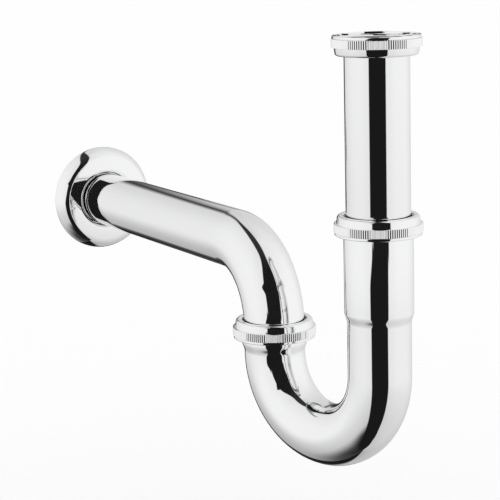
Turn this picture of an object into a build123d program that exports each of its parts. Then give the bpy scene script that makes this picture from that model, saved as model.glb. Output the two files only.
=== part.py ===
from build123d import *
import os
from math import cos, pi, sin

# Tubular basin trap: inlet pipe, U-bend, bent wall pipe, three knurled nuts and a wall rosette.
# Millimetres. The origin is on the wall pipe's axis in the face of the wall, +Y goes into
# the wall, +Z is up. "Nut floor" below means the lower end of a nut.

# Tubes
pipe_od = 32.0
pipe_wall = 1.0
socket_clearance = 0.25  # radial room of a pipe in a socket

# Layout of the three tubes
wall_reach = 212.4  # wall to the axis of the outlet leg
spigot_length = 15.0  # wall pipe behind the wall's face
mark_gap = 0.2  # rolled ring in front of the spigot, which marks how far it goes in
mark_width = 0.8
mark_depth = 0.2
wall_bend_radius = 40.0
bend_in_nut = 3.5  # outlet nut's top above the end of the wall pipe's bend
leg_spacing = 76.0  # outlet leg to inlet leg
swivel_deg = 13.0  # the U-bend is turned this far from the wall pipe's plane

# Legs of the U-bend
outlet_socket_show = 1.3  # straight socket below the outlet nut
outlet_leg_straight = 1.1
inlet_socket_show = 39.0  # straight socket below the inlet nut
inlet_leg_straight = 27.5
socket_taper = 5.2  # height over which a socket narrows to the tube
end_gap = 0.5  # wall pipe's end above the narrowing

# Inlet pipe
inlet_height = 115.2  # basin nut's top above the wall pipe's axis
inlet_end_room = 10.4  # inlet pipe's end above the narrowing, to push it down
pipe_flange = 1.4  # thickness of the rolled flange at the top
pipe_flange_round = 0.7

# Slip joints: threaded collar, cone seal and slip ring inside a nut
collar_wall = 2.75  # collar's radial thickness over the socket
thread_clearance = 0.15
collar_lift = 0.3  # collar's lower end above the nut floor
collar_height = 3.9
collar_shoulder = 1.7  # collar's lower end to the tube's end
collar_chamfer = 0.4
braze_gap = 0.05
seat_throat_gap = 0.5  # radial room of the pipe in the collar's throat
seat_width = 1.8  # radial width of the conical seat
seat_land = 0.4  # straight throat under the conical seat
seal_flange = 1.5
seal_clearance = 0.1  # on the pipe and in the conical seat
slip_ring_height = 1.7
slip_ring_gap = 0.6  # radial room round the pipe
ring_round = 0.3

# Knurled nuts, each radius stepped out or in from the collar's thread
nut_height = 9.8
nut_flange = 2.4  # inward flange that presses the joint together
nut_hole_gap = 1.1  # radial room round the pipe
nut_hole_round = 0.4
thread_over_collar = 1.2  # nut's thread goes on this far above the collar
recess_step = 1.0  # room for seal, ring or flange, inside the collar's thread
recess_clearance = 0.2
dome_wall = 0.55  # outside the nut's thread
dome_taper = 0.5
dome_round = 1.3
rim_height = 1.5
rim_step = 0.9  # rim outside the dome
rim_chamfer = 0.4
knurl_height = 4.4
knurl_stand = 0.4  # ribs outside the rim
knurl_depth = 0.45
knurl_count = 120
basin_thread_step = 0.805  # basin thread outside the slip joint's, to 41.91 mm

# Basin gasket
gasket_height = 2.0
gasket_setback = 0.3  # from the pipe's bore

# Wall rosette, stepped outwards and back from its mouth to its rim
rosette_wall_gap = 0.1  # rim in front of the wall's face
rosette_rim = 0.8  # straight edge at the wall
rosette_flank_width = 3.85
rosette_flank_height = 6.15
rosette_shoulder_width = 2.65
rosette_shoulder_height = 1.25
rosette_face_width = 8.2
rosette_face_height = 1.1
rosette_mouth_gap = 1.0  # radial, round the pipe
rosette_mouth_round = 2.0
rosette_lip = 4.5  # length of the lip that grips the pipe
rosette_clearance = 0.25
rosette_sheet = 0.9

# Radii of tubes and joints
pipe_r = pipe_od / 2
bore_r = pipe_r - pipe_wall
socket_bore_r = pipe_r + socket_clearance
socket_r = socket_bore_r + pipe_wall
collar_r = socket_r + collar_wall
seat_throat_r = pipe_r + seat_throat_gap
seat_mouth_r = seat_throat_r + seat_width
recess_r = collar_r - recess_step
packing_r = recess_r - recess_clearance

# Radii of the nuts
slip_thread_r = collar_r + thread_clearance
basin_thread_r = slip_thread_r + basin_thread_step
nut_hole_r = pipe_r + nut_hole_gap
dome_base_r = slip_thread_r + dome_wall
dome_top_r = dome_base_r - dome_taper
rim_r = dome_base_r + rim_step
knurl_r = rim_r + knurl_stand
knurl_root_r = knurl_r - knurl_depth

# Heights on the outlet axis, from the wall pipe's axis
outlet_nut_floor = bend_in_nut - wall_bend_radius - nut_height
outlet_taper_top = outlet_nut_floor - outlet_socket_show
outlet_taper_end = outlet_taper_top - socket_taper
bend_centre_z = outlet_taper_end - outlet_leg_straight
wall_pipe_end = outlet_taper_top + end_gap

# Heights on the inlet axis
inlet_taper_end = bend_centre_z + inlet_leg_straight
inlet_taper_top = inlet_taper_end + socket_taper
inlet_nut_floor = inlet_taper_top + inlet_socket_show
basin_nut_floor = inlet_height - nut_height
pipe_flange_floor = basin_nut_floor + nut_flange
inlet_pipe_top = pipe_flange_floor + pipe_flange
inlet_pipe_end = inlet_taper_top + inlet_end_room

# Rosette's radii, and places along the wall pipe's axis
mouth_r = pipe_r + rosette_mouth_gap
face_end_r = mouth_r + rosette_face_width
shoulder_end_r = face_end_r + rosette_shoulder_width
rosette_r = shoulder_end_r + rosette_flank_width
rosette_edge_y = -rosette_wall_gap - rosette_rim
shoulder_end_y = rosette_edge_y - rosette_flank_height
face_end_y = shoulder_end_y - rosette_shoulder_height
mouth_y = face_end_y - rosette_face_height

# Heights inside a slip joint, from the nut floor
tube_end = collar_lift + collar_shoulder
collar_top = collar_lift + collar_height
seal_top = collar_top + seal_flange
slip_ring_top = seal_top + slip_ring_height

# Places of the two vertical axes
outlet_axis = Location((0, -wall_reach, 0), (0, 0, swivel_deg))
inlet_axis = outlet_axis * Location((0, -leg_spacing, 0))


def turned(outline):
    """A solid of revolution about Z from a closed outline of (radius, height) points."""
    return revolve(Plane.XZ * make_face(outline), Axis.Z)


def tube_ring():
    """Cross-section of the plain tube."""
    return Circle(pipe_r) - Circle(bore_r)


def swept_tube(path):
    return sweep(Plane(origin=path @ 0, z_dir=path % 0) * tube_ring(), path=path)


def knurl_band(hole_r):
    """The ring of straight V-shaped ribs round a nut."""
    step = pi / knurl_count
    radii = [knurl_r, knurl_root_r] * knurl_count
    ribs = [(radius * cos(i * step), radius * sin(i * step)) for i, radius in enumerate(radii)]
    face = make_face(Polyline(*ribs, close=True)) - Circle(hole_r)
    return Pos(0, 0, rim_height) * extrude(face, knurl_height)


def nut(steps):
    """A knurled nut, rim down and dome up, with a stepped bore of (radius, height) steps."""
    band_r = (basin_thread_r + knurl_root_r) / 2
    band_top = rim_height + knurl_height
    first_r = steps[0][0]
    outer = [
        (first_r, 0),
        (rim_r - rim_chamfer, 0),
        (rim_r, rim_chamfer),
        (rim_r, rim_height),
        (band_r, rim_height),
        (band_r, band_top),
        (dome_base_r, band_top),
        (dome_top_r, nut_height),
        (nut_hole_r, nut_height),
    ]
    rounds = [0] * (len(outer) - 2) + [dome_round, nut_hole_round]
    inner = []
    below_r = nut_hole_r
    for radius, height in reversed(steps):
        inner += [(below_r, height), (radius, height)]
        below_r = radius
    rounds += [0] * len(inner)
    body = turned(FilletPolyline(*outer, *inner, radius=rounds, close=True))
    return body + knurl_band(band_r)


def taper_outline(low_r, high_r, low, high):
    """S-shaped line of two tangent arcs from one radius to the next."""
    middle = ((low_r + high_r) / 2, (low + high) / 2)
    lower = TangentArc((low_r, low), middle, tangent=(0, 1))
    upper = TangentArc((high_r, high), middle, tangent=(0, -1))
    return lower + upper


def socket(taper_end, taper_top, top):
    """The expanded end of the U-bend: a narrowing and a straight socket."""
    outline = taper_outline(pipe_r, socket_r, taper_end, taper_top)
    outline += Line((socket_r, taper_top), (socket_r, top))
    outline += Line((socket_r, top), (socket_bore_r, top))
    outline += Line((socket_bore_r, top), (socket_bore_r, taper_top))
    outline += taper_outline(bore_r, socket_bore_r, taper_end, taper_top)
    outline += Line((bore_r, taper_end), (pipe_r, taper_end))
    return turned(outline)


def thread_collar():
    """Threaded ring brazed over a socket, with a conical seat for the seal."""
    inner_r = socket_r + braze_gap
    outline = FilletPolyline(
        (inner_r, collar_lift),
        (collar_r - collar_chamfer, collar_lift),
        (collar_r, collar_lift + collar_chamfer),
        (collar_r, collar_top - collar_chamfer),
        (collar_r - collar_chamfer, collar_top),
        (seat_mouth_r, collar_top),
        (seat_throat_r, tube_end + seat_land),
        (seat_throat_r, tube_end),
        (inner_r, tube_end),
        radius=0,
        close=True,
    )
    return turned(outline)


def cone_seal():
    """Rubber seal: a flange on the collar and a cone in its seat."""
    inner_r = pipe_r + seal_clearance
    cone_tip = tube_end + seat_land
    outline = FilletPolyline(
        (inner_r, cone_tip),
        (seat_throat_r - seal_clearance, cone_tip),
        (seat_mouth_r - seal_clearance, collar_top),
        (packing_r, collar_top),
        (packing_r, seal_top),
        (inner_r, seal_top),
        radius=[0, 0, 0, ring_round, ring_round, 0],
        close=True,
    )
    return turned(outline)


def flat_ring(inner_r, outer_r, low, high):
    outline = FilletPolyline(
        (inner_r, low),
        (outer_r, low),
        (outer_r, high),
        (inner_r, high),
        radius=[0, ring_round, ring_round, 0],
        close=True,
    )
    return turned(outline)


def make_wall_pipe():
    path = FilletPolyline(
        (0, spigot_length, 0),
        (0, -wall_reach, 0),
        (0, -wall_reach, wall_pipe_end),
        radius=wall_bend_radius,
    )
    ring = extrude(Circle(pipe_r + mark_depth) - Circle(pipe_r - mark_depth), mark_width)
    mark = Plane(origin=(0, -mark_gap, 0), z_dir=(0, -1, 0)) * ring
    return swept_tube(path) - mark


def make_u_bend():
    """Built with the outlet axis on Z and the inlet leg towards -Y."""
    half = leg_spacing / 2
    path = Line((0, -leg_spacing, inlet_taper_end), (0, -leg_spacing, bend_centre_z))
    path += ThreePointArc(
        (0, -leg_spacing, bend_centre_z),
        (0, -half, bend_centre_z - half),
        (0, 0, bend_centre_z),
    )
    path += Line((0, 0, bend_centre_z), (0, 0, outlet_taper_end))
    bend = swept_tube(path.wire())
    outlet_socket = socket(outlet_taper_end, outlet_taper_top, outlet_nut_floor + tube_end)
    inlet_socket = socket(inlet_taper_end, inlet_taper_top, inlet_nut_floor + tube_end)
    return bend + outlet_socket + Pos(0, -leg_spacing, 0) * inlet_socket


def make_inlet_pipe():
    flange_r = packing_r
    outline = FilletPolyline(
        (bore_r, inlet_pipe_end),
        (pipe_r, inlet_pipe_end),
        (pipe_r, pipe_flange_floor),
        (flange_r, pipe_flange_floor),
        (flange_r, inlet_pipe_top),
        (bore_r, inlet_pipe_top),
        radius=[0, 0, pipe_flange_round, ring_round, ring_round, pipe_flange_round],
        close=True,
    )
    return turned(outline)


def make_compression_nut():
    return nut([(slip_thread_r, collar_top + thread_over_collar), (recess_r, slip_ring_top)])


def make_basin_nut():
    """The same nut the other way up, bored for the basin's waste thread."""
    flange_top = nut_height - nut_flange
    thread_floor = flange_top - pipe_flange - gasket_height
    upright = nut([(basin_thread_r, thread_floor), (recess_r, flange_top)])
    return Pos(0, 0, nut_height) * Rot(180, 0, 0) * upright


def make_wall_rosette():
    """Pressed sheet: a lip that grips the pipe, a shallow face, a round shoulder and a curved flank."""
    face = FilletPolyline(
        (pipe_r + rosette_clearance, mouth_y + rosette_lip),
        (mouth_r, mouth_y),
        (face_end_r, face_end_y),
        radius=rosette_mouth_round,
    )
    shoulder = TangentArc(face @ 1, (shoulder_end_r, shoulder_end_y), tangent=face % 1)
    flank = TangentArc(shoulder @ 1, (rosette_r, rosette_edge_y), tangent=shoulder % 1)
    front = face + shoulder + flank + Line(flank @ 1, (rosette_r, -rosette_wall_gap))
    sheet = front.wire().offset_2d(rosette_sheet, side=Side.LEFT, closed=True)
    return revolve(make_face(sheet), Axis.Y)


outlet_joint = outlet_axis * Pos(0, 0, outlet_nut_floor)
inlet_joint = inlet_axis * Pos(0, 0, inlet_nut_floor)
pipe_hole_r = pipe_r + slip_ring_gap

parts = {
    "wall_pipe": make_wall_pipe(),
    "wall_rosette": make_wall_rosette(),
    "u_bend": outlet_axis * make_u_bend(),
    "inlet_pipe": inlet_axis * make_inlet_pipe(),
    "basin_nut": inlet_axis * Pos(0, 0, basin_nut_floor) * make_basin_nut(),
    "basin_gasket": inlet_axis
    * flat_ring(bore_r + gasket_setback, packing_r, inlet_pipe_top, inlet_pipe_top + gasket_height),
}
for side, joint in (("outlet", outlet_joint), ("inlet", inlet_joint)):
    parts[side + "_thread_collar"] = joint * thread_collar()
    parts[side + "_seal"] = joint * cone_seal()
    parts[side + "_slip_ring"] = joint * flat_ring(pipe_hole_r, packing_r, seal_top, slip_ring_top)
    parts[side + "_nut"] = joint * make_compression_nut()

os.makedirs("parts", exist_ok=True)
for name, shape in parts.items():
    export_step(shape, f"parts/{name}.step")
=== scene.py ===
from math import atan2, cos, degrees, pi, radians, sin, tan, tau

import bmesh
import bpy
from mathutils import Matrix, Vector


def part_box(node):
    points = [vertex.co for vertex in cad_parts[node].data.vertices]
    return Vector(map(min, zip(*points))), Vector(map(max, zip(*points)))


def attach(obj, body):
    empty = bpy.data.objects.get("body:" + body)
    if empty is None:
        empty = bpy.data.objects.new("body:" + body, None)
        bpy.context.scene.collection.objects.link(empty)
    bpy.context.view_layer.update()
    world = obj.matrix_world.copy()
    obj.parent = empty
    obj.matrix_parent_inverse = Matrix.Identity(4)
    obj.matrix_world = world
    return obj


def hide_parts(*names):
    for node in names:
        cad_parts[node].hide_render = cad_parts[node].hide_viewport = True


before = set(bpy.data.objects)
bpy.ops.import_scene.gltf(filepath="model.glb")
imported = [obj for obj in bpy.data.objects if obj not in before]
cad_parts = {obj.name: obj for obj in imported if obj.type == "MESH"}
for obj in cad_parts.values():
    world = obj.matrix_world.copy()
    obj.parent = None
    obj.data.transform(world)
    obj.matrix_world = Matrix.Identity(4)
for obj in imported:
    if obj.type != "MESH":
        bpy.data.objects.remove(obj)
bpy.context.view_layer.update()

# Sizes of the trap, in metres
mm = 0.001
pipe_r = 16.0 * mm
bore_r = 15.0 * mm
socket_bore_r = 16.25 * mm
socket_r = 17.25 * mm
wall_bend_r = 40.0 * mm
socket_taper = 5.2 * mm
socket_in_nut = 2.0 * mm
outlet_leg_straight = 0.2 * mm
inlet_leg_straight = 27.5 * mm
edge_round = 0.15 * mm

# Rolled flange of the inlet pipe
flange_neck_round = 0.7 * mm
flange_edge_round = 0.3 * mm
flange_mouth_round = 0.6 * mm

# Knurled nuts
nut_height = 9.8 * mm
rim_r = 21.6 * mm
rim_height = 1.5 * mm
rim_round = 0.4 * mm
rim_step_round = 0.2 * mm
knurl_r = 22.0 * mm
knurl_depth = 0.28 * mm
knurl_height = 4.4 * mm
knurl_count = 120
knurl_end = 0.18 * mm
groove_r = 21.35 * mm
dome_base_r = 20.7 * mm
dome_top_r = 20.2 * mm
dome_round = 1.3 * mm
nut_hole_r = 17.1 * mm
nut_hole_round = 0.4 * mm
recess_r = 19.0 * mm
nut_flange = 2.4 * mm

# Seals, slip rings and gasket, and the collars that the seals sit in
packing_r = 18.8 * mm
packing_round = 0.3 * mm
seat_gap = 0.02 * mm
seal_gap = 0.1 * mm
seal_tip_r = 16.4 * mm
seal_cone_r = 18.2 * mm
seal_flange = 1.5 * mm
slip_ring_hole_r = 16.6 * mm
gasket_hole_r = 15.3 * mm
collar_gap = 0.05 * mm
collar_shoulder = 1.7 * mm
collar_land = 0.4 * mm
collar_land_r = 16.5 * mm
collar_mouth_r = 18.3 * mm

# Threads, the two shares as parts of a pitch
slip_thread_r = 20.15 * mm
slip_thread_run = 5.4 * mm
slip_ring_seat = 7.4 * mm
slip_pitch = 1.5 * mm
slip_thread_depth = 0.75 * mm
basin_thread_r = 20.955 * mm
basin_thread_run = 4.0 * mm
basin_pitch = 2.309 * mm
basin_thread_depth = 1.2 * mm
thread_half_share = 0.44
thread_crest_share = 0.08
thread_root_sink = 0.05 * mm
thread_end_turns = 0.9

# Rosette, heights in front of the wall
rosette_r = 31.7 * mm
rosette_wall_gap = 0.1 * mm
rosette_edge = 0.9 * mm
rosette_shoulder_end_r = 27.85 * mm
rosette_shoulder_end = 7.05 * mm
rosette_face_end_r = 25.2 * mm
rosette_face_end = 8.3 * mm
rosette_mouth_r = 17.0 * mm
rosette_mouth = 9.4 * mm
rosette_mouth_round = 2.0 * mm
rosette_lip = 4.5 * mm
rosette_grip_r = 16.25 * mm
rosette_sheet = 0.9 * mm

# Rolled ring on the wall pipe that marks how far it goes into the wall
mark_gap = 0.2 * mm
mark_width = 0.8 * mm
mark_depth = 0.2 * mm

# Fineness of the meshes
tube_segments = 160
ring_segments = 192
knurl_points = 8
bend_step = radians(1.5)
taper_steps = 14
arc_steps = 12
thread_steps = 96
fillet_segments = 6
rim_segments = 3
tolerance = 1e-6
smooth_angle = radians(32)
knurl_smooth_angle = radians(60)

# Depth of the dents in the finishes
dent_depth = 0.2 * mm

# White floor below the trap
floor_drop = 0.09
floor_r = 12.0
floor_segments = 96


def centre_of(node):
    low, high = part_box(node)
    return (low + high) / 2


# Axes and heights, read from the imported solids
outlet_x, outlet_y, _ = centre_of("outlet_seal")
inlet_x, inlet_y, _ = centre_of("inlet_seal")
outlet_axis = Vector((outlet_x, outlet_y, 0))
inlet_axis = Vector((inlet_x, inlet_y, 0))
leg_line = (inlet_axis - outlet_axis).normalized()
bend_axis = Vector((0, 0, 1)).cross(leg_line)
bend_r = (inlet_axis - outlet_axis).length / 2
wall_pipe_low, wall_pipe_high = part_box("wall_pipe")
u_low, u_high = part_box("u_bend")
bend_centre_z = u_low.z + bend_r + pipe_r
outlet_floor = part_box("outlet_nut")[0].z
inlet_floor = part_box("inlet_nut")[0].z
basin_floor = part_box("basin_nut")[0].z
outlet_socket_top = outlet_floor + socket_in_nut
inlet_socket_top = u_high.z
outlet_taper_low = bend_centre_z + outlet_leg_straight
inlet_taper_low = bend_centre_z + inlet_leg_straight


def keep(bm, name, slot, body, *nodes, smooth_below=smooth_angle):
    """Turns a finished bmesh into a piece of the trap that rides on a body."""
    mesh = bpy.data.meshes.new(name)
    bm.to_mesh(mesh)
    bm.free()
    mesh.polygons.foreach_set("use_smooth", [True] * len(mesh.polygons))
    mesh.set_sharp_from_angle(angle=smooth_below)
    mesh.materials.append(finishes[slot])
    piece = bpy.data.objects.new(name, mesh)
    bpy.context.scene.collection.objects.link(piece)
    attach(piece, body)
    if nodes:
        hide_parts(*nodes)


def tidy(bm):
    """Merges doubled points and turns every face outwards."""
    bmesh.ops.remove_doubles(bm, verts=bm.verts, dist=tolerance)
    bmesh.ops.recalc_face_normals(bm, faces=bm.faces)


def round_edges(bm, edges, reach, segments):
    """Bevels edges to a round that reaches so far along both sides."""
    bmesh.ops.bevel(
        bm,
        geom=edges,
        offset=reach,
        segments=segments,
        profile=0.5,
        affect="EDGES",
        material=-1,
        clamp_overlap=True,
    )


def fillet_reach(outline, index, radius):
    """How far a fillet of one radius reaches along the two sides of a corner."""
    corners = (index - 1, index, (index + 1) % len(outline))
    before, corner, after = (Vector(outline[i]) for i in corners)
    return radius * tan((corner - before).angle(after - corner) / 2)


def spin_full(bm, segments):
    """Spins all that is drawn so far once round Z."""
    bmesh.ops.spin(
        bm,
        geom=bm.verts[:] + bm.edges[:],
        cent=(0, 0, 0),
        axis=(0, 0, 1),
        angle=tau,
        steps=segments,
        use_merge=True,
    )
    tidy(bm)


def lathe(bm, outline, segments, fillets):
    """Spins a closed outline of (radius, height) points about Z and rounds the numbered corners."""
    corners = [bm.verts.new((radius, 0, height)) for radius, height in outline]
    for i, corner in enumerate(corners):
        bm.edges.new((corners[i - 1], corner))
    spin_full(bm, segments)
    for index, radius in fillets.items():
        reach = fillet_reach(outline, index, radius)
        round_edges(bm, ring_at(bm, *outline[index]), reach, fillet_segments)


def ring_at(bm, radius, height):
    """The edges that run round Z at one radius and height."""

    def on_ring(v):
        return abs(v.co.z - height) < tolerance and abs(v.co.xy.length - radius) < tolerance

    return [e for e in bm.edges if on_ring(e.verts[0]) and on_ring(e.verts[1])]


def place(bm, origin):
    """Moves all that is drawn so far to its place in the frame."""
    bmesh.ops.translate(bm, verts=bm.verts, vec=origin)


def pull(bm, edges, move, factor=1.0, centre=None):
    """Extrudes a loop of edges, moves the new loop and scales it about a centre."""
    grown = bmesh.ops.extrude_edge_only(bm, edges=edges)["geom"]
    verts = [g for g in grown if isinstance(g, bmesh.types.BMVert)]
    new = set(verts)
    loop = [g for g in grown if isinstance(g, bmesh.types.BMEdge) and set(g.verts) <= new]
    bmesh.ops.translate(bm, verts=verts, vec=move)
    if centre is not None:
        bmesh.ops.scale(bm, verts=verts, vec=(factor,) * 3, space=Matrix.Translation(-centre))
    return loop


def swing(bm, edges, centre, axis, angle):
    """Spins a loop of edges round a bend and returns the last loop."""
    verts = list(dict.fromkeys(v for e in edges for v in e.verts))
    turned = bmesh.ops.spin(
        bm,
        geom=edges + verts,
        cent=centre,
        axis=axis,
        angle=angle,
        steps=round(abs(angle) / bend_step),
    )
    return [g for g in turned["geom_last"] if isinstance(g, bmesh.types.BMEdge)]


def circle(bm, radius, matrix):
    """The edges of a new circle with as many points as every tube has."""
    made = bmesh.ops.create_circle(bm, radius=radius, segments=tube_segments, matrix=matrix)
    ring = set(made["verts"])
    return [e for e in bm.edges if set(e.verts) <= ring]


def end_face(bm, outer, inner):
    """Closes a tube's end with a ring of faces from its outer loop to its inner one."""
    inner_verts = [v for e in inner for v in e.verts]

    def across(v):
        return min(inner_verts, key=lambda other: (other.co - v.co).length_squared)

    for e in outer:
        first, second = e.verts
        bm.faces.new((first, second, across(second), across(first)))


def close_ends(bm, *ends):
    """Closes a tube's ends, each given by its outer and inner loop, and rounds their edges."""
    for outer, inner in ends:
        end_face(bm, outer, inner)
    tidy(bm)
    rims = [e for loops in ends for loop in loops for e in loop]
    round_edges(bm, rims, edge_round, rim_segments)


def wall_pipe_piece():
    """Straight run from the wall, a quarter bend and a short leg down into the U-bend."""
    bm = bmesh.new()
    upright = Matrix.Rotation(radians(90), 4, "X")
    back = Matrix.Translation((0, wall_pipe_high.y, 0)) @ upright
    bend_start_y = outlet_y + wall_bend_r
    starts, ends = [], []
    for radius, dip in ((pipe_r, mark_depth), (bore_r, 0)):
        start = circle(bm, radius, back)
        loop = pull(bm, start, (0, -mark_gap - wall_pipe_high.y, 0))
        if dip:
            narrow = (radius - dip) / radius
            loop = pull(bm, loop, (0, 0, 0), narrow, Vector((0, -mark_gap, 0)))
            loop = pull(bm, loop, (0, -mark_width, 0))
            loop = pull(bm, loop, (0, 0, 0), 1 / narrow, Vector((0, -mark_gap - mark_width, 0)))
        else:
            loop = pull(bm, loop, (0, -mark_width, 0))
        loop = pull(bm, loop, (0, bend_start_y + mark_gap + mark_width, 0))
        loop = swing(bm, loop, (0, bend_start_y, -wall_bend_r), (1, 0, 0), pi / 2)
        loop = pull(bm, loop, (0, 0, wall_pipe_low.z + wall_bend_r))
        starts.append(start)
        ends.append(loop)
    close_ends(bm, starts, ends)
    keep(bm, "wall_pipe_tube", "chrome", "wall_pipe", "wall_pipe")


def expand(bm, loop, axis, low, top, small_r, large_r):
    """Widens a tube along an S-shaped line and runs it straight on to the top of the socket."""
    radius, height = small_r, low
    for step in range(1, taper_steps + 1):
        share = step / taper_steps
        next_r = small_r + (large_r - small_r) * (1 - cos(pi * share)) / 2
        next_height = low + socket_taper * share
        centre = axis + Vector((0, 0, next_height))
        loop = pull(bm, loop, (0, 0, next_height - height), next_r / radius, centre)
        radius, height = next_r, next_height
    return pull(bm, loop, (0, 0, top - height))


def u_bend_piece():
    """Half-round bend between two legs, each widened into a socket."""
    bm = bmesh.new()
    centre = (outlet_axis + inlet_axis) / 2 + Vector((0, 0, bend_centre_z))
    inlet_low = Matrix.Translation(inlet_axis + Vector((0, 0, bend_centre_z)))
    inlet_top, outlet_top = [], []
    for small_r, large_r in ((pipe_r, socket_r), (bore_r, socket_bore_r)):
        start = circle(bm, small_r, inlet_low)
        loop = swing(bm, start, centre, bend_axis, pi)
        loop = pull(bm, loop, (0, 0, outlet_leg_straight))
        loop = expand(bm, loop, outlet_axis, outlet_taper_low, outlet_socket_top, small_r, large_r)
        outlet_top.append(loop)
        loop = pull(bm, start, (0, 0, inlet_leg_straight))
        loop = expand(bm, loop, inlet_axis, inlet_taper_low, inlet_socket_top, small_r, large_r)
        inlet_top.append(loop)
    close_ends(bm, inlet_top, outlet_top)
    keep(bm, "u_bend_tube", "chrome", "u_bend", "u_bend")


def inlet_pipe_piece():
    """Straight tube with a rolled flange at the top."""
    low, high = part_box("inlet_pipe")
    flange_floor = basin_floor + nut_flange + seat_gap
    outline = [
        (bore_r, low.z),
        (pipe_r, low.z),
        (pipe_r, flange_floor),
        (packing_r, flange_floor),
        (packing_r, high.z),
        (bore_r, high.z),
    ]
    fillets = {
        2: flange_neck_round,
        4: flange_edge_round,
        5: flange_mouth_round,
        0: edge_round,
        1: edge_round,
    }
    bm = bmesh.new()
    lathe(bm, outline, tube_segments, fillets)
    place(bm, inlet_axis)
    keep(bm, "inlet_pipe_tube", "chrome", "inlet_pipe", "inlet_pipe")


def cut_knurl(bm):
    """Draws the rows of the knurl band out into straight ribs."""
    low, high = rim_height + knurl_end / 2, rim_height + knurl_height - knurl_end / 2
    for v in bm.verts:
        radius = v.co.xy.length
        if low < v.co.z < high and radius > groove_r:
            rib = atan2(v.co.y, v.co.x) * knurl_count / tau
            wanted = knurl_r - knurl_depth * 2 * abs(rib - round(rib))
            v.co.xy *= wanted / radius


def nut_piece(joint, origin, thread_r, thread_run, seat, flipped=False):
    """A knurled nut: rim, ribbed band, rounded dome and a stepped bore."""
    band_top = rim_height + knurl_height
    outline = [
        (thread_r, 0),
        (rim_r, 0),
        (rim_r, rim_height),
        (groove_r, rim_height),
        (knurl_r, rim_height + knurl_end),
        (knurl_r, band_top - knurl_end),
        (groove_r, band_top),
        (dome_base_r, band_top),
        (dome_top_r, nut_height),
        (nut_hole_r, nut_height),
        (nut_hole_r, seat),
        (recess_r, seat),
        (recess_r, thread_run),
        (thread_r, thread_run),
    ]
    fillets = {1: rim_round, 2: rim_step_round, 8: dome_round, 9: nut_hole_round, 0: edge_round}
    bm = bmesh.new()
    lathe(bm, outline, knurl_count * knurl_points, fillets)
    cut_knurl(bm)
    if flipped:
        over = Matrix.Rotation(pi, 3, "X")
        bmesh.ops.rotate(bm, verts=bm.verts, cent=(0, 0, nut_height / 2), matrix=over)
    place(bm, origin)
    nut = joint + "_nut"
    keep(bm, joint + "_knurled_nut", "chrome", nut, nut, smooth_below=knurl_smooth_angle)


def thread_ridge(bm, root_r, crest_r, pitch, low, turns):
    """One helical ridge about Z, its section a triangle with a narrow flat on the crest."""
    half = pitch * thread_half_share
    flat = pitch * thread_crest_share
    section = [(root_r, -half), (crest_r, -flat), (crest_r, flat), (root_r, half)]
    corners = [bm.verts.new((radius, 0, low + half + height)) for radius, height in section]
    edges = [bm.edges.new((corners[i - 1], corner)) for i, corner in enumerate(corners)]
    bm.faces.new(corners)
    run = bmesh.ops.spin(
        bm,
        geom=corners + edges,
        cent=(0, 0, 0),
        axis=(0, 0, 1),
        dvec=(0, 0, pitch / thread_steps),
        angle=tau * turns,
        steps=round(turns * thread_steps),
    )
    last = [g for g in run["geom_last"] if isinstance(g, bmesh.types.BMEdge)]
    bmesh.ops.contextual_create(bm, geom=last)
    bmesh.ops.recalc_face_normals(bm, faces=bm.faces)


def basin_thread_piece():
    """The inside thread of the basin nut."""
    bm = bmesh.new()
    low = basin_floor + nut_height - basin_thread_run
    turns = basin_thread_run / basin_pitch - thread_end_turns
    root_r = basin_thread_r + thread_root_sink
    crest_r = basin_thread_r - basin_thread_depth
    thread_ridge(bm, root_r, crest_r, basin_pitch, low, turns)
    place(bm, inlet_axis)
    keep(bm, "basin_nut_thread", "chrome", "basin_nut")


def collar_piece(joint, axis):
    """Threaded ring with a conical seat, its thread drawn as a helix."""
    node = joint + "_thread_collar"
    low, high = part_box(node)
    crest_r = (high.x - low.x) / 2
    core_r = crest_r - slip_thread_depth
    inner_r = socket_r + collar_gap
    shoulder_z = low.z + collar_shoulder
    outline = [
        (inner_r, low.z),
        (core_r, low.z),
        (core_r, high.z),
        (collar_mouth_r, high.z),
        (collar_land_r, shoulder_z + collar_land),
        (collar_land_r, shoulder_z),
        (inner_r, shoulder_z),
    ]
    bm = bmesh.new()
    lathe(bm, outline, ring_segments, {1: edge_round, 2: edge_round})
    turns = (high.z - low.z) / slip_pitch - thread_end_turns
    thread_ridge(bm, core_r - thread_root_sink, crest_r, slip_pitch, low.z, turns)
    place(bm, axis)
    keep(bm, joint + "_collar", "chrome", "u_bend", node)


def ring_piece(name, slot, body, node, axis, outline, fillets):
    """A seal, slip ring or gasket turned from its own outline."""
    bm = bmesh.new()
    lathe(bm, outline, ring_segments, fillets)
    place(bm, axis)
    keep(bm, name, slot, body, node)


def seal_piece(joint, body, axis):
    """Rubber ring with a cone below and a flange on top."""
    node = joint + "_seal"
    low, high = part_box(node)
    inner_r = pipe_r + seal_gap
    flange_z, top_z = high.z - seal_flange + seat_gap, high.z - seat_gap
    outline = [
        (inner_r, low.z),
        (seal_tip_r, low.z),
        (seal_cone_r, flange_z),
        (packing_r, flange_z),
        (packing_r, top_z),
        (inner_r, top_z),
    ]
    fillets = {3: packing_round, 4: packing_round}
    ring_piece(joint + "_cone_seal", "rubber", body, node, axis, outline, fillets)


def flat_ring_piece(name, slot, body, node, axis, inner_r):
    """Flat ring as high as its solid."""
    low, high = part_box(node)
    outline = [(inner_r, low.z), (packing_r, low.z), (packing_r, high.z), (inner_r, high.z)]
    fillets = {1: packing_round, 2: packing_round, 3: edge_round}
    ring_piece(name, slot, body, node, axis, outline, fillets)


def draw_line(bm, start, radius, height):
    """Draws an outline on to the next corner and returns that corner with the way it was reached."""
    corner = bm.verts.new((radius, 0, height))
    bm.edges.new((start, corner))
    return corner, (corner.co - start.co).normalized()


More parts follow.
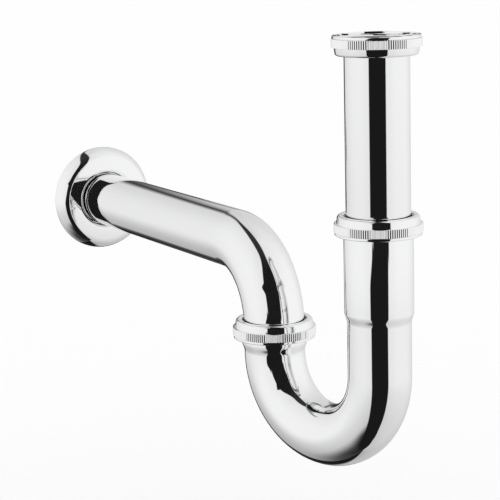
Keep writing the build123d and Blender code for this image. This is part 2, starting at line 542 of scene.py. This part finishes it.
def draw_arc(bm, start, heading, radius, height):
    """Draws an outline on along the falling arc that leaves in one heading and ends at a point."""
    chord = Vector((radius, 0, height)) - start.co
    bend = heading.angle(chord)
    across = Vector((heading.z, 0, -heading.x)) * chord.length / (2 * sin(bend))
    made = bmesh.ops.spin(
        bm,
        geom=[start],
        cent=start.co + across,
        axis=(0, 1, 0),
        angle=2 * bend,
        steps=arc_steps,
    )
    last = next(g for g in made["geom_last"] if isinstance(g, bmesh.types.BMVert))
    return last, Matrix.Rotation(2 * bend, 3, "Y") @ heading


def rosette_piece():
    """Pressed sheet: a lip on the wall pipe, a shallow face, a round shoulder and a curved flank."""
    bm = bmesh.new()
    lip = bm.verts.new((rosette_grip_r, 0, rosette_mouth - rosette_lip))
    mouth, rising = draw_line(bm, lip, rosette_mouth_r, rosette_mouth)
    face_end, heading = draw_line(bm, mouth, rosette_face_end_r, rosette_face_end)
    reach = rosette_mouth_round * tan(rising.angle(heading) / 2)
    shoulder_end, heading = draw_arc(bm, face_end, heading, rosette_shoulder_end_r, rosette_shoulder_end)
    edge, _ = draw_arc(bm, shoulder_end, heading, rosette_r, rosette_edge)
    draw_line(bm, edge, rosette_r, rosette_wall_gap)
    spin_full(bm, ring_segments)
    round_edges(bm, ring_at(bm, rosette_mouth_r, rosette_mouth), reach, fillet_segments)
    bmesh.ops.solidify(bm, geom=bm.faces[:], thickness=rosette_sheet)
    tidy(bm)
    to_room = Matrix.Rotation(radians(90), 3, "X")
    bmesh.ops.rotate(bm, verts=bm.verts, cent=(0, 0, 0), matrix=to_room)
    keep(bm, "rosette_dome", "chrome", "wall_rosette", "wall_rosette")


def new_material(name):
    """A material with its nodes, links and shader."""
    material = bpy.data.materials.new(name)
    material.use_nodes = True
    nodes = material.node_tree.nodes
    return material, nodes, material.node_tree.links, nodes["Principled BSDF"]


def object_noise(nodes, links, scale, detail):
    """Noise on the piece's own coordinates."""
    place_in = nodes.new("ShaderNodeTexCoord")
    noise = nodes.new("ShaderNodeTexNoise")
    noise.inputs["Scale"].default_value = scale
    noise.inputs["Detail"].default_value = detail
    links.new(place_in.outputs["Object"], noise.inputs["Vector"])
    return noise.outputs["Fac"]


def vary(nodes, links, source, low, high, socket):
    """Drives a shader socket between two values from a texture."""
    spread = nodes.new("ShaderNodeMapRange")
    spread.inputs["To Min"].default_value = low
    spread.inputs["To Max"].default_value = high
    links.new(source, spread.inputs["Value"])
    links.new(spread.outputs["Result"], socket)


def dent(nodes, links, source, strength, shader):
    """Roughens a shader's surface slightly from a texture."""
    bump = nodes.new("ShaderNodeBump")
    bump.inputs["Strength"].default_value = strength
    bump.inputs["Distance"].default_value = dent_depth
    links.new(source, bump.inputs["Height"])
    links.new(bump.outputs["Normal"], shader.inputs["Normal"])


def chrome_finish():
    """Polished chrome plate with a faint haze and a very slight orange peel."""
    material, nodes, links, shader = new_material("polished_chrome")
    shader.inputs["Base Color"].default_value = (0.905, 0.907, 0.91, 1)
    shader.inputs["Metallic"].default_value = 1.0
    haze = object_noise(nodes, links, scale=90.0, detail=4.0)
    vary(nodes, links, haze, low=0.02, high=0.06, socket=shader.inputs["Roughness"])
    peel = object_noise(nodes, links, scale=260.0, detail=2.0)
    dent(nodes, links, peel, strength=0.02, shader=shader)
    return material


def mottled_finish(name, scale, detail, dark, pale, roughness, strength):
    """A dull material whose colour, roughness and surface follow one noise."""
    material, nodes, links, shader = new_material(name)
    grain = object_noise(nodes, links, scale, detail)
    ramp = nodes.new("ShaderNodeValToRGB")
    for stop, colour in zip(ramp.color_ramp.elements, (dark, pale)):
        stop.color = colour
    links.new(grain, ramp.inputs["Fac"])
    links.new(ramp.outputs["Color"], shader.inputs["Base Color"])
    vary(nodes, links, grain, *roughness, socket=shader.inputs["Roughness"])
    dent(nodes, links, grain, strength, shader)
    return material


finishes = {
    "chrome": chrome_finish(),
    "rubber": mottled_finish(
        "black_rubber",
        scale=900.0,
        detail=6.0,
        dark=(0.018, 0.018, 0.019, 1),
        pale=(0.045, 0.045, 0.047, 1),
        roughness=(0.55, 0.8),
        strength=0.15,
    ),
    "slip_plastic": mottled_finish(
        "slip_plastic",
        scale=400.0,
        detail=4.0,
        dark=(0.74, 0.74, 0.70, 1),
        pale=(0.86, 0.86, 0.83, 1),
        roughness=(0.35, 0.5),
        strength=0.06,
    ),
}

# The tubes and the rosette
wall_pipe_piece()
u_bend_piece()
inlet_pipe_piece()
rosette_piece()

# The two slip joints
for joint, axis, nut_floor, seal_body in (
    ("outlet", outlet_axis, outlet_floor, "u_bend"),
    ("inlet", inlet_axis, inlet_floor, "inlet_seal"),
):
    nut_origin = axis + Vector((0, 0, nut_floor))
    nut_piece(joint, nut_origin, slip_thread_r, slip_thread_run, slip_ring_seat)
    collar_piece(joint, axis)
    seal_piece(joint, seal_body, axis)
    slip_ring = joint + "_slip_ring"
    flat_ring_piece(joint + "_ring", "slip_plastic", slip_ring, slip_ring, axis, slip_ring_hole_r)

# The union nut for the basin, turned over, with its thread and its gasket
basin_origin = inlet_axis + Vector((0, 0, basin_floor))
basin_seat = nut_height - nut_flange
nut_piece("basin", basin_origin, basin_thread_r, basin_thread_run, basin_seat, flipped=True)
basin_thread_piece()
flat_ring_piece("basin_flat_gasket", "rubber", "inlet_pipe", "basin_gasket", inlet_axis, gasket_hole_r)

# Camera at the photograph's angle
image_px = 500
sensor_mm = 36.0
focal_px = 1709.9
azimuth = radians(-29.466)
elevation = radians(11.236)
roll = radians(-1.426)
distance = 0.896232
side_step = -0.011863
lift = 0.000287

right_level = Vector((cos(azimuth), sin(azimuth), 0))
back = Vector((sin(azimuth) * cos(elevation), -cos(azimuth) * cos(elevation), sin(elevation)))
up_level = back.cross(right_level)
right = right_level * cos(roll) + up_level * sin(roll)
up = back.cross(right)
target = outlet_axis + right_level * side_step + Vector((0, 0, lift))
camera_data = bpy.data.cameras.new("photo_camera")
camera_data.sensor_width = sensor_mm
camera_data.lens = focal_px / image_px * sensor_mm
camera_data.clip_end = 50
camera = bpy.data.objects.new("photo_camera", camera_data)
turn = Matrix((right, up, back)).transposed().to_4x4()
camera.matrix_world = Matrix.Translation(target + back * distance) @ turn
bpy.context.scene.collection.objects.link(camera)
bpy.context.scene.camera = camera


def studio_world():
    """White light tent, seen plain white by the camera, with its dark gaps for reflections alone.

    Angles are in degrees, and levels are shares of white.
    """
    world = bpy.data.worlds.new("light_tent")
    world.use_nodes = True
    bpy.context.scene.world = world
    nodes, links = world.node_tree.nodes, world.node_tree.links
    nodes.clear()

    def calc(operation, *values):
        """The result of a math node whose inputs are numbers or other results."""
        node = nodes.new("ShaderNodeMath")
        node.operation = operation
        for socket, value in zip(node.inputs, values):
            if isinstance(value, (int, float)):
                socket.default_value = value
            else:
                links.new(value, socket)
        return node.outputs[0]

    def plus(first, second):
        return calc("ADD", first, second)

    def minus(first, second):
        return calc("SUBTRACT", first, second)

    def times(first, second):
        return calc("MULTIPLY", first, second)

    def larger(first, second):
        return calc("MAXIMUM", first, second)

    def rise(value, start, end):
        """0 before start, 1 after end, smooth between."""
        node = nodes.new("ShaderNodeMapRange")
        node.interpolation_type = "SMOOTHSTEP"
        links.new(value, node.inputs["Value"])
        node.inputs["From Min"].default_value = start
        node.inputs["From Max"].default_value = end
        return node.outputs["Result"]

    def part(most, value):
        """A value between 0 and 1, scaled to the most that it may add or take away."""
        return times(value, most)

    def less(value):
        """What a value between 0 and 1 leaves of 1."""
        return minus(1.0, value)

    def band(value, start, end, soft):
        """1 between start and end, with soft edges."""
        begun = rise(value, start - soft, start + soft)
        return times(begun, less(rise(value, end - soft, end + soft)))

    place_in = nodes.new("ShaderNodeTexCoord")
    turn_to_camera = nodes.new("ShaderNodeMapping")
    turn_to_camera.vector_type = "VECTOR"
    turn_to_camera.inputs["Rotation"].default_value = (0, 0, -azimuth)
    links.new(place_in.outputs["Generated"], turn_to_camera.inputs["Vector"])
    split = nodes.new("ShaderNodeSeparateXYZ")
    links.new(turn_to_camera.outputs["Vector"], split.inputs["Vector"])
    x, y, z = split.outputs
    to_degrees = degrees(1)
    # Angle to the right of the camera's side of the tent, and height, in degrees
    around = times(calc("ARCTAN2", x, times(y, -1.0)), to_degrees)
    height = times(calc("ARCSINE", z), to_degrees)

    below = times(height, -1.0)
    leftwards = times(around, -1.0)
    off_axis = calc("ABSOLUTE", around)

    # Level of the white walls, which fall off towards the top, the floor, the back and the opening
    brightest = 0.99
    walls = minus(brightest, part(0.14, rise(height, 15, 95)))
    walls = minus(walls, part(0.16, rise(below, 5, 31)))
    walls = minus(walls, part(0.12, rise(below, 25, 60)))
    walls = minus(walls, part(0.10, rise(below, 57, 83)))
    back_fall = times(rise(off_axis, 100, 180), less(part(0.55, rise(height, 30, 70))))
    walls = times(walls, less(part(0.27, back_fall)))
    walls = times(walls, less(part(0.06, less(rise(off_axis, 28, 65)))))
    # The left side is darker, most of all near the floor and beside the opening
    left_side = times(rise(leftwards, -20, 40), less(part(0.06, rise(leftwards, 90, 130))))
    left_floor = plus(part(0.13, rise(below, 12, 45)), part(0.76, rise(below, 42, 70)))
    left_floor = plus(left_floor, part(0.055, rise(below, 66, 82)))
    walls = times(walls, less(times(left_side, plus(left_floor, 0.02))))
    left_back = times(rise(leftwards, 75, 125), plus(part(0.18, rise(below, 8, 30)), 0.03))
    walls = times(walls, less(left_back))
    beside = times(rise(leftwards, 0, 20), less(rise(leftwards, 40, 72)))
    walls = times(walls, less(part(0.88, times(beside, rise(below, 42, 58)))))

    # The tent's opening towards the camera, up to eye level, wider near the floor
    left_widening = plus(part(7.5, rise(below, 0, 9)), part(5.0, rise(below, 40, 62)))
    left_edge = rise(plus(around, left_widening), -27.2, -24.8)
    right_widening = plus(part(6.0, rise(below, 62, 74)), part(25.0, rise(below, 76, 88)))
    right_edge = rise(minus(around, right_widening), 24.8, 27.2)
    opening = times(times(left_edge, less(right_edge)), less(rise(height, 0, 5)))
    # Above eye level it narrows to a strip that leans to the left on its way over the top and down behind
    across = times(calc("ARCSINE", x), to_degrees)
    back_over = times(calc("ARCTAN2", y, z), to_degrees)
    bulge = band(back_over, -66, -60, 4)
    middle = minus(3.5, part(19.0, rise(back_over, -42, 28)))
    middle = plus(middle, part(12.0, rise(back_over, 50, 88)))
    middle = minus(middle, part(4.5, bulge))
    half_width = minus(25.0, part(15.5, rise(back_over, -65, -20)))
    half_width = minus(half_width, part(7.0, rise(back_over, -15, 35)))
    half_width = plus(half_width, part(4.5, bulge))
    softness = plus(1.3, part(1.7, rise(back_over, 10, 50)))
    off_strip = minus(calc("ABSOLUTE", minus(across, middle)), half_width)
    strip = times(less(rise(calc("DIVIDE", off_strip, softness), -1, 1)), rise(height, -5, 0))
    # Below eye level it goes on as a seam, with a dark corner beside it
    off_seam = minus(plus(around, 174.0), part(10.0, rise(below, 8, 25)))
    seam_width = plus(part(4.5, band(height, -20, 12, 6)), part(8.0, rise(below, 26, 40)))
    seam = less(rise(minus(calc("ABSOLUTE", off_seam), seam_width), 1.5, 7.5))
    seam = times(seam, less(rise(height, 0, 8)))
    corner = larger(rise(leftwards, 150, 157), part(0.6, rise(off_axis, 170, 177)))
    corner = times(corner, band(height, -38, 9, 5))
    gaps = larger(part(0.96, seam), part(0.86, corner))
    gaps = larger(gaps, times(strip, less(part(0.04, rise(back_over, -60, 0)))))
    dark = larger(opening, gaps)
    darkest = 0.0107
    light = larger(times(walls, less(dark)), darkest)

    path = nodes.new("ShaderNodeLightPath")
    level = nodes.new("ShaderNodeMix")
    level.data_type = "FLOAT"
    links.new(path.outputs["Is Glossy Ray"], level.inputs["Factor"])
    level.inputs["A"].default_value = 1.0
    links.new(light, level.inputs["B"])
    background = nodes.new("ShaderNodeBackground")
    background.inputs["Color"].default_value = (1, 1, 1, 1)
    links.new(level.outputs["Result"], background.inputs["Strength"])
    output = nodes.new("ShaderNodeOutputWorld")
    links.new(background.outputs["Background"], output.inputs["Surface"])


def pale_floor():
    """Plain white floor well below the trap, which hangs from its wall pipe."""
    bm = bmesh.new()
    middle = Matrix.Translation((0, outlet_y, u_low.z - floor_drop))
    bmesh.ops.create_circle(bm, cap_ends=True, radius=floor_r, segments=floor_segments, matrix=middle)
    mesh = bpy.data.meshes.new("pale_floor")
    bm.to_mesh(mesh)
    bm.free()
    material, _, _, shader = new_material("pale_floor")
    shader.inputs["Base Color"].default_value = (0.99, 0.99, 0.99, 1)
    shader.inputs["Roughness"].default_value = 0.9
    shader.inputs["Specular IOR Level"].default_value = 0.0
    mesh.materials.append(material)
    floor = bpy.data.objects.new("pale_floor", mesh)
    bpy.context.scene.collection.objects.link(floor)
    floor.visible_glossy = False


studio_world()
pale_floor()
bpy.context.scene.view_settings.view_transform = "Standard"
